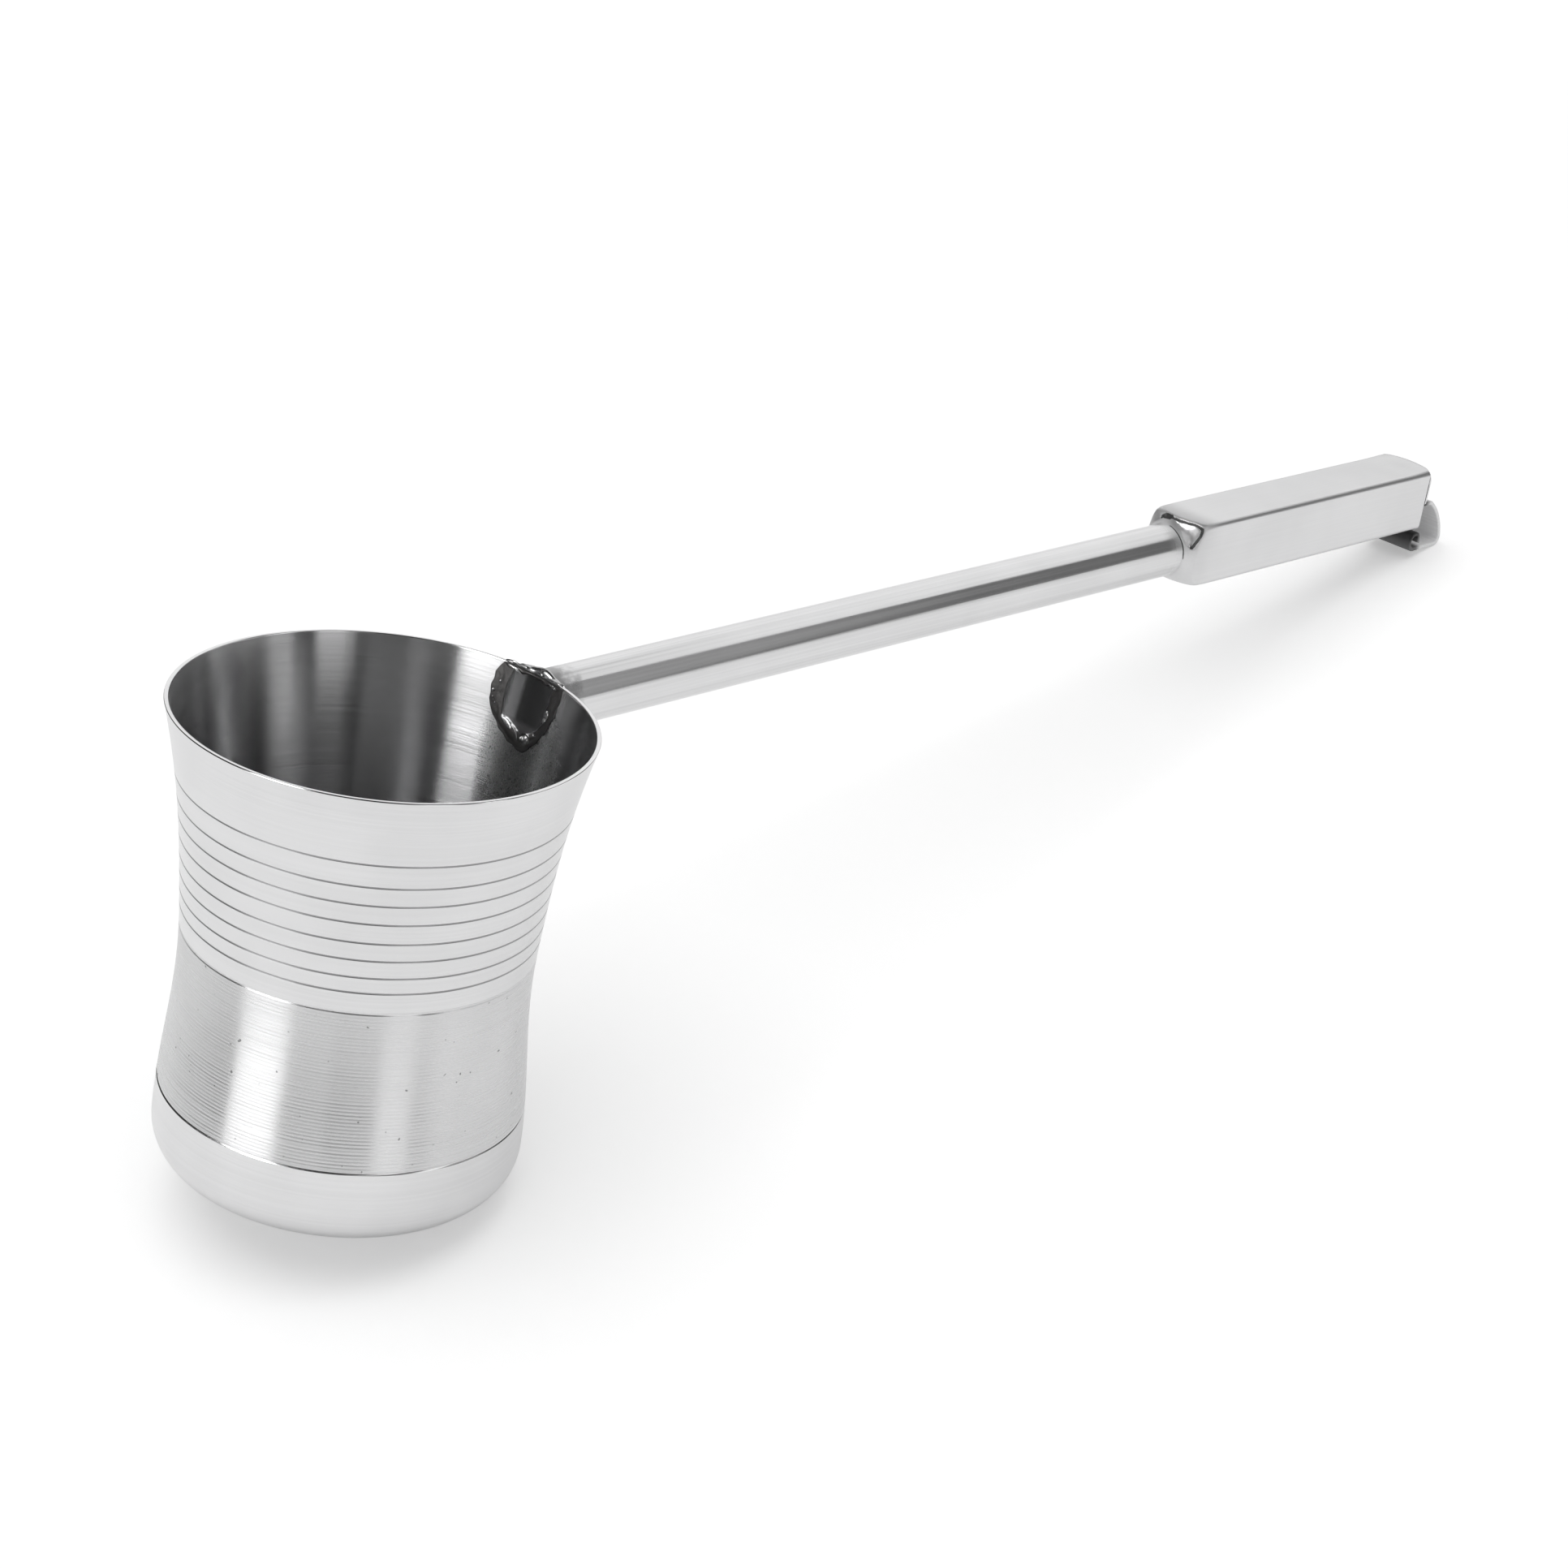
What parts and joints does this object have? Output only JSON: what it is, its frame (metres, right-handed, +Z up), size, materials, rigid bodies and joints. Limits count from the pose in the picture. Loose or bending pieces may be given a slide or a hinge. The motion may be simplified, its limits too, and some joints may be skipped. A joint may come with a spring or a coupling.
{
  "type": "lota dipper",
  "caption": "Long-handled lota dipper: a waisted steel cup with engraved rings, a round tube handle, a square grip and a hanging loop.",
  "frame": {"origin": "on the surface that the dipper lies on, below the middle of its length and width", "axes": "+X along the floor from the cup towards the loop, +Z up; the cup leans 12.9 degrees towards the handle, as it lies in use"},
  "size_m": [0.4096, 0.0828, 0.1107],
  "materials": {
    "cup_steel": "polished, with a turned band round the lower half and a brushed inside",
    "tube_steel": "polished along its length",
    "grip_steel": "satin polished",
    "loop_steel": "satin polished",
    "weld_steel": "bright weld metal with dark edges",
    "burnt_weld": "dark, heat stained weld metal"
  },
  "bodies": {
    "root": {"cup_body": "cup_steel", "handle_tube": "tube_steel", "cup_weld_outside": "weld_steel", "cup_weld_inside": "burnt_weld", "rim_weld": "weld_steel", "grip_tube": "grip_steel", "collar_weld": "weld_steel", "hanging_loop": "loop_steel"}
  },
  "joints": []
}
